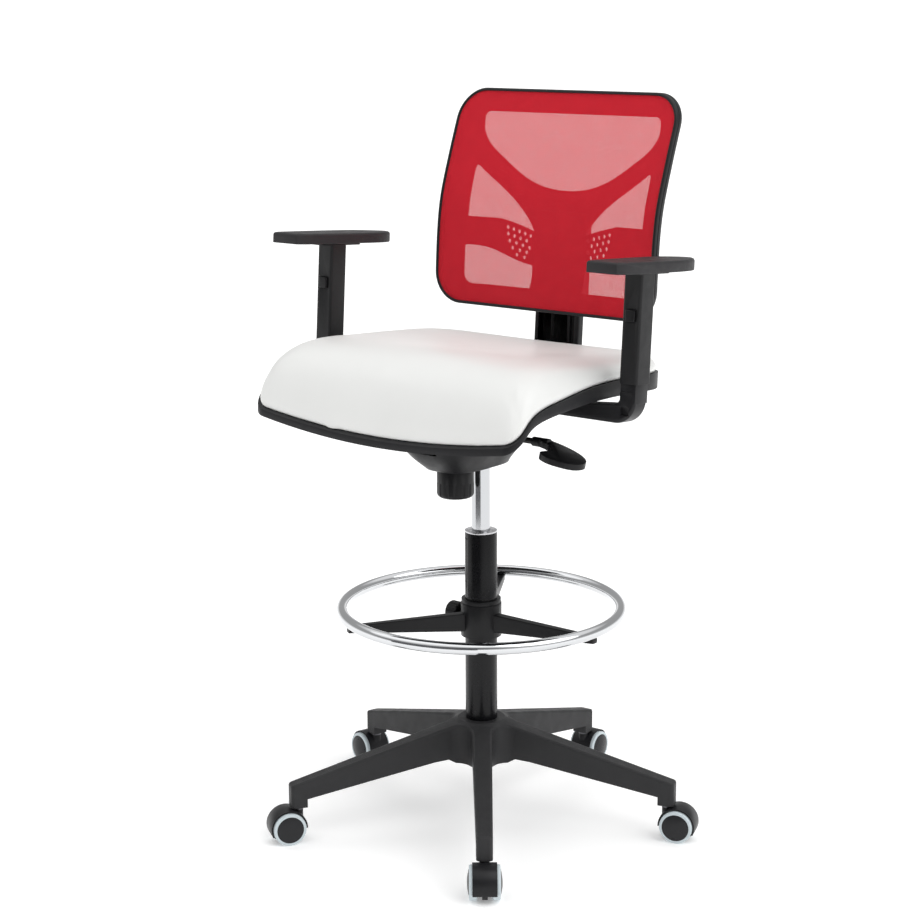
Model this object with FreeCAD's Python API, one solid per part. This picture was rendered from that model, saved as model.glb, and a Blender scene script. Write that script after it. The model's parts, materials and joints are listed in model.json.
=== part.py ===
"""Drafting chair with a mesh back, a height-adjustable foot ring and a five-star base on twin-wheel casters.

Millimetres, +Z up. The origin is on the floor under the column axis. The sitter faces -Y, and +X is the
sitter's left. The seat, its arms and the back are drawn level and then leaned back about the X axis.
"""
import FreeCAD, Part
import math
import os

from FreeCAD import Vector

# ---- column, base and casters
COLUMN_RADIUS = 24.5
COLUMN_BOTTOM = 98.0
COLUMN_TOP = 457.0
COLUMN_WALL = 1.5
GAS_RADIUS = 14.0
GAS_BOTTOM = 210.0
GAS_TOP = 604.0
ROD_RADIUS = 4.0
ROD_TOP = 326.0
RUNNING = 0.05

LEG_COUNT = 5
LEG_FIRST_ANGLE = -50.5
LEG_TIP = 305.3
LEG_ROOT_HALF = 15.0
LEG_TIP_HALF = 12.0
TIP_ROUND = 6.0
CROTCH_RADIUS = 26.0
HUB_TOP = 163.0
TIP_TOP = 89.0
SOCKET_BOTTOM = 54.0

WHEEL_RADIUS = 25.0
WHEEL_CORE = 20.6
WHEEL_INNER = 10.6
WHEEL_OUTER = 22.4
WHEEL_DOME = 3.0
CASTER_TRAIL = 17.5
STEM_AT = 293.0
STEM_RADIUS = 5.5
HOOD_HALF = 17.6
HOOD_INNER = 26.0
HOOD_OUTER = 28.0
AXLE_RADIUS = 3.0
RIM_CLEAR = 0.5

# ---- foot ring
RING_Z = 338.0
RING_RADIUS = 212.0
RING_TUBE = 9.0
COLLAR_BOTTOM = 295.0
COLLAR_TOP = 346.0
COLLAR_RADIUS = 31.0
KNOB_Z = 322.0

# ---- mechanism
PIVOT_Z = 593.0
LEAN = 4.05
HOUSING_BOTTOM = 580.0
HOUSING_HALF = 40.0
HOUSING_FRONT = -112.0
HOUSING_REAR = 56.0
HOUSING_WALL = 3.0
HOUSING_TOP = 640.0
SEAT_PIVOT_Y = -88.0
BACK_PIVOT_Y = 34.0
SHAFT_Z = 628.0
SHAFT_RADIUS = 6.0
TENSION_Y = -60.0
TENSION_STEM = 8.0
TENSION_GRIP = 27.5
COVER_WALL = 2.6
LEVER_Y = -42.0
LEVER_Z = 620.0
LEVER_ROD = 4.5
PADDLE_DROP = 12

# ---- seat
SEAT_HALF_WIDTH = 248.0
SEAT_FRONT = -238.0
SEAT_BACK = 157.0
SHELL_LOW = 668.0
SCREW_RADIUS = 3.3
SCREW_PLACES = [(x, y) for x in (-70, 70) for y in (-90, 30)]
FRONT_SAG = 22.0
FRONT_CORNER = 24.0
REAR_CORNER = 90.0
SCOOP = 5.0
CUSHION_TOP = 743.0

# ---- arms
ARM_X = 289.0
ARM_Y = -25.6
SLEEVE_X = 15.0
SLEEVE_Y = 17.2
SLEEVE_BOTTOM = 717.0
ELBOW_TOP = 705.0
PAD_BOTTOM = 874.0
PAD_TOP = 890.0
PAD_X = 294.5
PAD_FRONT = -127.0
PAD_REAR = 98.0

# ---- back
BACK_HALF_WIDTH = 207.0
BACK_BOTTOM = 784.0
BACK_TOP = 1121.0
RIM_WIDTH = 4.6
RIM_DEPTH = 16.0
DISH = 38.0
DISH_EDGE = 10.0
SHELL_WALL = 3.5
BACK_CURVE = [(760, 131), (784, 129.6), (830, 127.2), (873, 126.6), (913, 127.6), (953, 132.2),
              (993, 142), (1033, 153.4), (1073, 165.6), (1121, 181.2), (1140, 187.6)]
UPRIGHT_FRONT = 176.0
UPRIGHT_HALF = 42.5
UPRIGHT_DEPTH = 14.0
BAR_HALF = 30.0
BAR_GAP = BAR_HALF + 3


# ---- helpers
def cylinder(radius, low, high, x=0.0, y=0.0):
    return Part.makeCylinder(radius, high - low, Vector(x, y, low))


def tube(outer, inner, low, high, x=0.0, y=0.0):
    return cylinder(outer, low, high, x, y).cut(cylinder(inner, low - 1, high + 1, x, y))


def block(x0, x1, y0, y1, z0, z1):
    return Part.makeBox(x1 - x0, y1 - y0, z1 - z0, Vector(x0, y0, z0))


def bar_x(radius, x0, x1, y, z):
    return Part.makeCylinder(radius, x1 - x0, Vector(x0, y, z), Vector(1, 0, 0))


def bar_y(radius, y0, y1, x, z):
    return Part.makeCylinder(radius, y1 - y0, Vector(x, y0, z), Vector(0, 1, 0))


def prism(points, along):
    """Closed polygon of 3-D points, pushed along a vector."""
    wire = Part.makePolygon([Vector(*p) for p in points] + [Vector(*points[0])])
    return Part.Face(wire).extrude(Vector(*along))


def spline(points, closed=False):
    curve = Part.BSplineCurve()
    if closed:
        curve.interpolate([Vector(*p) for p in points], PeriodicFlag=True)
    else:
        curve.interpolate([Vector(*p) for p in points])
    return curve.toShape()


def join(first, *others):
    return first.multiFuse(list(others)).removeSplitter()


def rounded(shape, radius, keep):
    """Fillets the edges whose centre passes the test."""
    edges = [e for e in shape.Edges if keep(e)]
    return shape.makeFillet(radius, edges)


def upright_edge(edge):
    low, high = edge.BoundBox.ZMin, edge.BoundBox.ZMax
    return edge.BoundBox.XLength < 0.01 and edge.BoundBox.YLength < 0.01 and high - low > 1


def turned(shape, degrees, x=0.0, y=0.0):
    copy = shape.copy()
    copy.rotate(Vector(x, y, 0), Vector(0, 0, 1), degrees)
    return copy


def moved(shape, x=0.0, y=0.0, z=0.0):
    copy = shape.copy()
    copy.translate(Vector(x, y, z))
    return copy


def leaned(shape):
    copy = shape.copy()
    copy.rotate(Vector(0, 0, PIVOT_Z), Vector(1, 0, 0), -LEAN)
    return copy


def mirrored(shape):
    return shape.mirror(Vector(0, 0, 0), Vector(1, 0, 0))


def between(value, table):
    """Straight-line reading of a table of pairs."""
    for (a, fa), (b, fb) in zip(table, table[1:]):
        if value <= b:
            return fa + (fb - fa) * (value - a) / (b - a)
    return table[-1][1]


def save(name, shape):
    shape.exportStep("parts/" + name + ".step")


# ---- base
def base_outline():
    """Plan of the star: straight tapering legs, square tips with rounded corners, concave arcs between legs."""
    half = math.pi / LEG_COUNT
    arc_centre = (LEG_ROOT_HALF + CROTCH_RADIUS) / math.sin(half)
    tangent_at = arc_centre * math.cos(half)
    nearest = arc_centre - CROTCH_RADIUS
    slant = TIP_ROUND * math.sin(math.pi / 4)
    edges = []
    for k in range(LEG_COUNT):
        angle = 2 * half * k

        def place(along, across, turn=angle):
            c, s = math.cos(turn), math.sin(turn)
            return Vector(along * c - across * s, along * s + across * c, 0)

        square = LEG_TIP_HALF - TIP_ROUND
        for side in (-1, 1):
            root = place(tangent_at, side * LEG_ROOT_HALF)
            shoulder = place(LEG_TIP - TIP_ROUND, side * LEG_TIP_HALF)
            middle = place(LEG_TIP - TIP_ROUND + slant, side * (square + slant))
            corner = place(LEG_TIP, side * square)
            edges.append(Part.LineSegment(root, shoulder).toShape())
            edges.append(Part.Arc(shoulder, middle, corner).toShape())
        edges.append(Part.LineSegment(place(LEG_TIP, -square), place(LEG_TIP, square)).toShape())
        crotch = place(nearest, 0, angle + half)
        next_root = place(tangent_at, -LEG_ROOT_HALF, angle + 2 * half)
        edges.append(Part.Arc(place(tangent_at, LEG_ROOT_HALF), crotch, next_root).toShape())
    return Part.Wire(Part.__sortEdges__(edges))


def top_at(r):
    """Height of the legs' top line at a radius."""
    return HUB_TOP - 3 - (r - 42) * (HUB_TOP - 3 - TIP_TOP) / (LEG_TIP - 41)


def five_star_base():
    plan = Part.Face(base_outline()).extrude(Vector(0, 0, 200))
    side = [(0, 0, HUB_TOP), (36, 0, HUB_TOP), (42, 0, HUB_TOP - 3), (LEG_TIP + 1, 0, TIP_TOP),
            (LEG_TIP + 1, 0, SOCKET_BOTTOM), (281, 0, SOCKET_BOTTOM), (281, 0, 67), (82, 0, 102),
            (60, 0, 104), (50, 0, COLUMN_BOTTOM), (0, 0, COLUMN_BOTTOM)]
    wire = Part.makePolygon([Vector(*p) for p in side] + [Vector(*side[0])])
    envelope = Part.Face(wire).revolve(Vector(0, 0, 0), Vector(0, 0, 1), 360)
    star = plan.common(turned(envelope, 180 / LEG_COUNT))
    edges = []
    for e in star.Edges:
        r = math.hypot(e.CenterOfMass.x, e.CenterOfMass.y)
        if r > 43 and e.CenterOfMass.z > top_at(r) - 4:
            edges.append(e)
    star = star.makeFillet(3.5, edges)
    cuts = [cylinder(COLUMN_RADIUS, 0, 300)]
    for k in range(LEG_COUNT):
        angle = 360 / LEG_COUNT * k
        cuts.append(turned(cylinder(STEM_RADIUS, 0, 82, STEM_AT), angle))
        for start, end in ((92, 148), (152, 208), (212, 268)):
            pocket = prism([(start, -8.5, 40), (end, -8.5, 40), (end, -8.5, top_at(end) - 5),
                            (start, -8.5, top_at(start) - 5)], (0, 17, 0))
            cuts.append(turned(pocket, angle))
    for cut in cuts:
        star = star.cut(cut)
    return turned(star, LEG_FIRST_ANGLE)


def caster_stems():
    stems = []
    for k in range(LEG_COUNT):
        stem = join(cylinder(STEM_RADIUS, 32, 82, STEM_AT), cylinder(8.0, SOCKET_BOTTOM - 4, SOCKET_BOTTOM, STEM_AT))
        stems.append(turned(stem, LEG_FIRST_ANGLE + 360 / LEG_COUNT * k))
    return Part.makeCompound(stems)


# ---- caster, drawn with its stem on the Z axis and its wheels trailing along +X
def caster_hood():
    x, z = CASTER_TRAIL, WHEEL_RADIUS
    fender = bar_y(HOOD_OUTER, -HOOD_HALF, HOOD_HALF, x, z).cut(bar_y(HOOD_INNER, -30, 30, x, z))
    open_side = prism([(x, -40, z), (x - 50, -40, z - 2), (x - 50, -40, -60), (x + 60, -40, -60),
                       (x + 60, -40, z - 26)], (0, 80, 0))
    fender = fender.cut(open_side)
    web = bar_y(HOOD_INNER + 1, -4, 4, x, z).cut(block(-60, 90, -40, 40, -60, 7))
    boss = bar_y(6.5, -WHEEL_INNER + 0.6, WHEEL_INNER - 0.6, x, z)
    neck = cylinder(7.5, 30, SOCKET_BOTTOM - 4.3)
    foot = block(-6, 0, -4, 4, 24, 36)
    hood = join(fender, web, boss, neck, foot)
    hood = hood.cut(cylinder(STEM_RADIUS + RUNNING, 20, 60))
    hood = hood.cut(cylinder(8.0 + RIM_CLEAR, SOCKET_BOTTOM - 4.3, 60))
    return hood.cut(bar_y(AXLE_RADIUS, -40, 40, x, z))


def caster_axle():
    return bar_y(AXLE_RADIUS, -WHEEL_OUTER + 1.5, WHEEL_OUTER - 1.5, CASTER_TRAIL, WHEEL_RADIUS)


def wheel_core(side):
    """Dished wheel centre: a drum with a blind axle bore and a crowned outer face."""
    x, z = CASTER_TRAIL, WHEEL_RADIUS
    drum = bar_y(WHEEL_CORE, WHEEL_INNER, WHEEL_OUTER, x, z)
    crown_radius = (19.8 ** 2 + WHEEL_DOME ** 2) / (2 * WHEEL_DOME)
    ball = Part.makeSphere(crown_radius, Vector(x, WHEEL_OUTER + WHEEL_DOME - crown_radius, z))
    crown = ball.common(bar_y(19.8, WHEEL_OUTER - 1, WHEEL_OUTER + 9, x, z))
    hollow = bar_y(17.5, WHEEL_INNER - 1, WHEEL_OUTER - 2.5, x, z)
    hub = bar_y(6.0, WHEEL_INNER, WHEEL_OUTER - 1, x, z)
    core = join(drum, crown).cut(hollow)
    core = join(core, hub).cut(bar_y(AXLE_RADIUS + RUNNING, 0, WHEEL_OUTER - 1.2, x, z))
    return core if side > 0 else core.mirror(Vector(0, 0, 0), Vector(0, 1, 0))


def wheel_tread(side):
    x, z = CASTER_TRAIL, WHEEL_RADIUS
    ring = bar_y(WHEEL_RADIUS, WHEEL_INNER, WHEEL_OUTER, x, z).cut(bar_y(WHEEL_CORE, 0, 40, x, z))
    ring = rounded(ring, 2.2, lambda e: e.Length > 2 * math.pi * (WHEEL_RADIUS - 1))
    return ring if side > 0 else ring.mirror(Vector(0, 0, 0), Vector(0, 1, 0))


def place_caster(shape, k):
    return turned(moved(shape, STEM_AT), LEG_FIRST_ANGLE + 360 / LEG_COUNT * k)


# ---- column and gas spring
def column_tube():
    wall = tube(COLUMN_RADIUS, COLUMN_RADIUS - COLUMN_WALL, COLUMN_BOTTOM, COLUMN_TOP)
    floor = tube(COLUMN_RADIUS, ROD_RADIUS + 1, COLUMN_BOTTOM, COLUMN_BOTTOM + 3)
    column = join(wall, floor)
    for angle in (-128.0, -112.0):
        hole = Part.makeCylinder(1.6, 40, Vector(0, 0, COLUMN_TOP - 9), Vector(1, 0, 0))
        column = column.cut(turned(hole, angle))
    return column


def column_top_bush():
    sleeve = tube(COLUMN_RADIUS - COLUMN_WALL, GAS_RADIUS + RUNNING, COLUMN_TOP - 22, COLUMN_TOP)
    sleeve = sleeve.cut(tube(40, COLUMN_RADIUS - COLUMN_WALL - 0.3, COLUMN_TOP - 14, COLUMN_TOP - 4))
    return join(sleeve, tube(COLUMN_RADIUS, GAS_RADIUS + RUNNING, COLUMN_TOP, COLUMN_TOP + 2.5))


def gas_cylinder():
    outside = cylinder(GAS_RADIUS, GAS_BOTTOM, GAS_TOP - 4)
    button = cylinder(4.5, GAS_TOP - 4, GAS_TOP)
    inside = cylinder(GAS_RADIUS - 2, GAS_BOTTOM + 8, GAS_TOP - 12)
    bore = cylinder(ROD_RADIUS + RUNNING, GAS_BOTTOM - 1, GAS_BOTTOM + 10)
    return join(outside, button).cut(inside).cut(bore)


def piston_rod():
    rod = cylinder(ROD_RADIUS, COLUMN_BOTTOM - 6, ROD_TOP)
    head = cylinder(GAS_RADIUS - 2 - RUNNING, ROD_TOP, ROD_TOP + 12)
    shoulder = cylinder(8, COLUMN_BOTTOM + 9.2, COLUMN_BOTTOM + 12)
    return join(rod, head, shoulder)


def thrust_bearing():
    return tube(11, ROD_RADIUS + RUNNING, COLUMN_BOTTOM + 3, COLUMN_BOTTOM + 9)


# ---- foot ring
def footring_hub():
    collar = cylinder(COLLAR_RADIUS, COLLAR_BOTTOM, COLLAR_TOP)
    arms = []
    for k in range(3):
        low = Part.makePolygon([Vector(20, -8, 303), Vector(20, 8, 303), Vector(20, 8, 332),
                                Vector(20, -8, 332), Vector(20, -8, 303)])
        far = RING_RADIUS + 1
        tip = Part.makePolygon([Vector(far, -6, 321), Vector(far, 6, 321), Vector(far, 6, 332),
                                Vector(far, -6, 332), Vector(far, -6, 321)])
        arm = Part.makeLoft([low, tip], True, True)
        arm = arm.makeFillet(2.0, [e for e in arm.Edges if e.BoundBox.XLength > 100])
        arms.append(turned(arm, 120 * k))
    ring = Part.makeTorus(RING_RADIUS, RING_TUBE + 0.02, Vector(0, 0, RING_Z))
    boss = Part.makeCylinder(8, 12, Vector(-COLLAR_RADIUS + 6, 0, KNOB_Z), Vector(-1, 0, 0))
    hub = join(collar, boss, *arms).cut(ring).cut(cylinder(COLUMN_RADIUS + 2.5, 200, 400))
    return hub.cut(bar_x(4.0 + RUNNING, -60, 0, 0, KNOB_Z))


def footring():
    return Part.makeTorus(RING_RADIUS, RING_TUBE, Vector(0, 0, RING_Z))


def footring_bush():
    body = tube(COLUMN_RADIUS + 2.5, COLUMN_RADIUS + RUNNING, COLLAR_BOTTOM - 2, COLLAR_TOP + 7)
    lip = tube(COLLAR_RADIUS - 1, COLUMN_RADIUS + RUNNING, COLLAR_TOP, COLLAR_TOP + 7)
    bush = join(body, lip)
    return bush.cut(bar_x(4.2, -60, 0, 0, KNOB_Z))


def footring_knob():
    screw = bar_x(4.0, -48, -COLUMN_RADIUS - 0.3, 0, KNOB_Z)
    grip = bar_x(16.0, -60, -38.5, 0, KNOB_Z)
    grip = rounded(grip, 3.0, lambda e: e.Length > 90)
    flutes = []
    for k in range(12):
        angle = math.radians(30 * k)
        flutes.append(bar_x(2.2, -70, -20, 17.2 * math.cos(angle), KNOB_Z + 17.2 * math.sin(angle)))
    return join(grip.cut(Part.makeCompound(flutes)), screw)


# ---- tilt mechanism, which stays level on the column
def mechanism_housing():
    """Pressed-steel channel that carries the taper socket and both pivot shafts."""
    inner = HOUSING_HALF - HOUSING_WALL
    outside = block(-HOUSING_HALF, HOUSING_HALF, HOUSING_FRONT, HOUSING_REAR, HOUSING_BOTTOM, HOUSING_TOP)
    inside = block(-inner, inner, HOUSING_FRONT + HOUSING_WALL, HOUSING_REAR - HOUSING_WALL,
                   HOUSING_BOTTOM + HOUSING_WALL, HOUSING_TOP + 5)
    socket = cylinder(21, HOUSING_BOTTOM, 606)
    body = join(outside.cut(inside), socket).common(room_in_cover(COVER_WALL + 0.3))
    body = body.cut(cylinder(GAS_RADIUS, 500, 700))
    body = body.cut(cylinder(TENSION_STEM + RUNNING, 570, 590, 0, TENSION_Y))
    body = body.cut(block(-BAR_GAP, BAR_GAP, 40, 60, 596, HOUSING_TOP + 1))
    for y in (SEAT_PIVOT_Y, BACK_PIVOT_Y):
        body = body.cut(bar_x(SHAFT_RADIUS, -60, 60, y, SHAFT_Z))
    return body.cut(bar_x(LEVER_ROD + RUNNING, -60, 60, LEVER_Y, LEVER_Z))


def boat(half, front, rear, z, corner):
    """Rounded rectangle in plan with a pointed bow, as one wire at height z."""
    points = []
    for k in range(24):
        t = 2 * math.pi * k / 24
        c, s = math.cos(t), math.sin(t)
        x = half * math.copysign(abs(c) ** (2 / corner), c)
        y = (rear + front) / 2 + (rear - front) / 2 * math.copysign(abs(s) ** (2 / corner), s)
        points.append((x, y, z))
    return Part.Wire([spline(points, True)])


COVER_BOATS = [(42, -98, 38, 566, 3.2), (54, -124, 54, 588, 3.6), (62, -137, 67, 610, 4.2),
               (63, -139, 69, 620, 4.2)]


def cover_form(wall):
    """The cover's outside, or with a wall taken off all round, the space inside it."""
    sections = []
    for level, (half, front, rear, z, corner) in enumerate(COVER_BOATS):
        lift = wall if level == 0 else 0
        sections.append(boat(half - wall, front + wall, rear - wall, z + lift, corner))
    return Part.makeLoft(sections, True)


def room_in_cover(wall):
    """The space inside the cover carried straight up past its rim, which the housing has to fit."""
    half, front, rear, z, corner = COVER_BOATS[-1]
    rim = boat(half - wall, front + wall, rear - wall, z - 1, corner)
    return join(cover_form(wall), Part.Face(rim).extrude(Vector(0, 0, 100)))


def mechanism_cover():
    """Plastic tub under the housing, open above, pierced for the gas spring and the tension screw."""
    outer = cover_form(0)
    inner = room_in_cover(COVER_WALL)
    tub = outer.cut(inner).cut(cylinder(GAS_RADIUS + 2, 500, 600))
    tub = tub.cut(cylinder(10, 500, 600, 0, TENSION_Y))
    tub = tub.cut(bar_x(LEVER_ROD + RIM_CLEAR, -80, 80, LEVER_Y, LEVER_Z))
    tub = tub.cut(block(-24, 24, -145, -112, 598, 606))
    return tub.cut(block(-BAR_GAP, BAR_GAP, 50, 80, 596, 625))


def tension_knob():
    grip = cylinder(TENSION_GRIP, 522, 564, 0, TENSION_Y)
    grip = rounded(grip, 7.0, lambda e: e.Length > 150 and e.CenterOfMass.z < 533)
    flutes = []
    for k in range(14):
        angle = 2 * math.pi * k / 14
        reach = TENSION_GRIP + 1.9
        flutes.append(cylinder(3.2, 500, 545, reach * math.cos(angle), TENSION_Y + reach * math.sin(angle)))
    grip = grip.cut(Part.makeCompound(flutes))
    return join(grip, cylinder(TENSION_STEM, 558, 636, 0, TENSION_Y))


def tension_spring():
    """Compression spring on the tension screw, drawn as a stack of touching turns."""
    rings = []
    pitch = 4.2
    for k in range(7):
        rings.append(Part.makeTorus(13.5, 2.15, Vector(0, TENSION_Y, 585.3 + pitch * k)))
    return join(rings[0], *rings[1:])


def pivot_shafts():
    return Part.makeCompound([bar_x(SHAFT_RADIUS, -52, 52, y, SHAFT_Z) for y in (SEAT_PIVOT_Y, BACK_PIVOT_Y)])


def lever():
    """Steel rod in the housing and the moulded paddle on its end, on the +X side."""
    rod = bar_x(LEVER_ROD, 24, 150, LEVER_Y, LEVER_Z)
    paddle_points = []
    for x, y in ((150, 7), (172, 9), (200, 6), (226, -4), (240, -21), (236, -40), (216, -52), (193, -55),
                 (178, -46), (180, -32), (176, -19), (163, -10), (146, -7)):
        paddle_points.append((x, LEVER_Y + y, 0))
    plate = Part.Face(Part.Wire([spline(paddle_points, True)])).extrude(Vector(0, 0, 9))
    plate = moved(plate, 0, 0, LEVER_Z - 4.5)
    plate.rotate(Vector(150, LEVER_Y, LEVER_Z), Vector(0, 1, 0), PADDLE_DROP)
    sleeve = bar_x(7.0, 132, 160, LEVER_Y, LEVER_Z)
    return Part.makeCompound([join(sleeve, plate).cut(rod), rod])


# ---- seat
def seat_outline(inset, low, high):
    """Plan of the seat: tight front corners, wide rear ones."""
    x = SEAT_HALF_WIDTH - inset
    body = block(-x, x, SEAT_FRONT + inset, SEAT_BACK - inset, low, high)
    middle = (SEAT_FRONT + SEAT_BACK) / 2
    front = [e for e in body.Edges if upright_edge(e) and e.CenterOfMass.y < middle]
    body = body.makeFillet(FRONT_CORNER - inset, front)
    rear = [e for e in body.Edges if upright_edge(e) and e.CenterOfMass.y > SEAT_BACK - inset - 1]
    return body.makeFillet(REAR_CORNER - inset, rear)


RIM_TOP = [(-260, 633), (-238, 641), (-224, 652), (-205, 672), (-180, 685), (-138, 695), (-73, 708),
           (-6, 715), (60, 718), (170, 718)]
RIM_LOW = [(-260, 623), (-238, 631), (-224, 643), (-205, 661), (-180, 671), (-138, 679), (-73, 688),
           (-6, 693), (60, 695), (170, 695)]


def sag(x, y):
    """How far the front edge drops between its corners."""
    across = 1 - (x / SEAT_HALF_WIDTH) ** 2
    near_front = max(0.0, min(1.0, (-118 - y) / 110))
    return FRONT_SAG * across * near_front


def dish(x):
    """How far the underside is lowered towards the mechanism."""
    inner = max(0.0, 1 - (abs(x) / 215) ** 2)
    return inner ** 0.7


def seat_section(x, top, low, gap=0.0):
    rows = (-260, -238, -224, -205, -180, -138, -73, -6, 60, 120, 170)
    above = [(x, y, top(x, y)) for y in rows]
    below = [(x, y, low(x, y) + gap) for y in rows]
    upper = spline(above)
    lower = spline(below)
    front = Part.LineSegment(Vector(*below[0]), Vector(*above[0])).toShape()
    rear = Part.LineSegment(Vector(*above[-1]), Vector(*below[-1])).toShape()
    return Part.Wire([front, upper, rear, lower])


def shell_top(x, y):
    return between(y, RIM_TOP) - sag(x, y) - 6 * dish(x) * (1 if y > -140 else max(0.0, (y + 200) / 60))


def shell_low(x, y):
    rim = between(y, RIM_LOW) - sag(x, y)
    depth = dish(x) * max(0.0, min(1.0, (y + 215) / 70)) * max(0.0, min(1.0, (190 - y) / 90))
    return rim - max(0.0, rim - SHELL_LOW) * depth


def crown(x, y):
    """Top of the cushion: rolled over at its front, closed in at its sides, and scooped a little where one sits."""
    rim = between(y, RIM_TOP) - sag(x, y) + 5
    across = max(0.0, 1 - (abs(x) / 253) ** 10) ** 0.6
    front = math.sin(math.pi / 2 * min(1.0, max(0.0, (y + 262) / 140))) ** 0.9
    rear = 1 - 0.28 * max(0.0, (y - 95) / 75) ** 2
    scoop = SCOOP * math.exp(-(x / 120) ** 2 - ((y - 20) / 90) ** 2)
    return rim + (CUSHION_TOP - rim) * across * front * rear - scoop


STATIONS = (-250, -240, -222, -190, -130, -60, 0, 60, 130, 190, 222, 240, 250)


def seat_shell():
    body = Part.makeLoft([seat_section(x, shell_top, shell_low) for x in STATIONS], True)
    shell = body.common(seat_outline(0, 560, 800))
    for x, y in SCREW_PLACES:
        shell = shell.cut(cylinder(SCREW_RADIUS, 600, 800, x, y))
    return shell


def seat_cushion():
    body = Part.makeLoft([seat_section(x, crown, shell_top, 0.4) for x in STATIONS], True)
    return body.common(seat_outline(3, 560, 800))


def seat_plate():
    """Steel top plate of the mechanism, with cheeks hung on the front shaft."""
    plate = block(-92, 92, -112, 60, SHELL_LOW - 4, SHELL_LOW - 0.3)
    cheeks = []
    for x in (-47, 43.5):
        cheek = prism([(x, -104, SHELL_LOW - 4), (x, -102, 618), (x, -76, 618), (x, -66, 640),
                       (x, -60, SHELL_LOW - 4)], (3.5, 0, 0))
        cheeks.append(cheek)
    plate = join(plate, *cheeks)
    centre = leaned_inverse(SEAT_PIVOT_Y, SHAFT_Z)
    plate = plate.cut(bar_x(SHAFT_RADIUS + RUNNING, -60, 60, centre[0], centre[1]))
    for x, y in SCREW_PLACES:
        plate = plate.cut(cylinder(SCREW_RADIUS, 600, 800, x, y))
    return plate


def leaned_inverse(y, z):
    """The level-frame place of a point given in the leaned frame."""
    a = math.radians(LEAN)
    dz = z - PIVOT_Z
    return y * math.cos(a) - dz * math.sin(a), y * math.sin(a) + dz * math.cos(a) + PIVOT_Z


def seat_screws():
    screws = []
    for x, y in SCREW_PLACES:
        head = cylinder(6, SHELL_LOW - 8, SHELL_LOW - 4, x, y)
        screws.append(join(head, cylinder(SCREW_RADIUS, SHELL_LOW - 4, SHELL_LOW + 18, x, y)))
    return Part.makeCompound(screws)


# ---- arms, drawn on the +X side
def arm_bracket():
    """Flat bar under the seat that turns up through an elbow into the post inside the sleeve."""
    low, high = SHELL_LOW - 8.3, SHELL_LOW - 0.3
    flat = block(96, ARM_X - 165, ARM_Y - 17, ARM_Y + 23, low, high)
    post = block(ARM_X - 11, ARM_X + 11, ARM_Y - 13, ARM_Y + 13, 690, 850)
    outer = Part.Arc(Vector(ARM_X - 22, ARM_Y - 16, low), Vector(ARM_X + 2.4, ARM_Y - 16, low + 10.1),
                     Vector(ARM_X + 12.5, ARM_Y - 16, low + 34.5)).toShape()
    inner = Part.Arc(Vector(ARM_X - 12.5, ARM_Y - 16, low + 34.5), Vector(ARM_X - 17.2, ARM_Y - 16, low + 28.5),
                     Vector(ARM_X - 30, ARM_Y - 16, low + 26)).toShape()
    corners = [Vector(ARM_X + 12.5, ARM_Y - 16, low + 34.5), Vector(ARM_X + 12.5, ARM_Y - 16, ELBOW_TOP),
               Vector(ARM_X - 12.5, ARM_Y - 16, ELBOW_TOP), Vector(ARM_X - 12.5, ARM_Y - 16, low + 34.5)]
    heel = [Vector(ARM_X - 30, ARM_Y - 16, low + 26), Vector(ARM_X - 90, ARM_Y - 16, low + 21),
            Vector(ARM_X - 140, ARM_Y - 16, low + 14), Vector(ARM_X - 170, ARM_Y - 16, high),
            Vector(ARM_X - 170, ARM_Y - 16, low), Vector(ARM_X - 22, ARM_Y - 16, low)]
    edges = [outer, inner]
    for run in (corners, heel):
        for a, b in zip(run, run[1:]):
            edges.append(Part.LineSegment(a, b).toShape())
    elbow = Part.Face(Part.Wire(Part.__sortEdges__(edges))).extrude(Vector(0, 32, 0))
    elbow = rounded(elbow, 5.0, lambda e: e.CenterOfMass.x > ARM_X - 5 and e.BoundBox.YLength < 0.01
                    and e.CenterOfMass.z < ELBOW_TOP - 1)
    recess = block(ARM_X - 10, ARM_X + 3, ARM_Y - 20, ARM_Y - 12, low + 12, low + 24)
    neck = block(ARM_X - 12.5, ARM_X + 12.5, ARM_Y - 15, ARM_Y + 15, 690, SLEEVE_BOTTOM + 4)
    return join(flat, elbow, neck, post).cut(recess)


def arm_sleeve():
    """Moulded outer sleeve that slides on the post and carries the pad."""
    outside = block(ARM_X - SLEEVE_X, ARM_X + SLEEVE_X, ARM_Y - SLEEVE_Y, ARM_Y + SLEEVE_Y,
                    SLEEVE_BOTTOM, PAD_BOTTOM)
    outside = rounded(outside, 4.0, upright_edge)
    hollow = block(ARM_X - 12.8, ARM_X + 12.8, ARM_Y - 15.3, ARM_Y + 15.3, SLEEVE_BOTTOM - 5, PAD_BOTTOM - 6)
    window = block(ARM_X - 8.0, ARM_X + 8.0, ARM_Y - 40, ARM_Y, 804, 821)
    flange = block(ARM_X - 22, ARM_X + 22, ARM_Y - 40, ARM_Y + 44, PAD_BOTTOM - 3, PAD_BOTTOM)
    flange = rounded(flange, 8.0, upright_edge)
    return join(outside, flange).cut(hollow).cut(window)


def arm_button():
    face = block(ARM_X - 7.6, ARM_X + 7.6, ARM_Y - SLEEVE_Y - 4, ARM_Y - 15.8, 804.4, 820.6)
    face = rounded(face, 1.5, lambda e: e.CenterOfMass.y < ARM_Y - SLEEVE_Y - 3)
    return face


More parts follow.
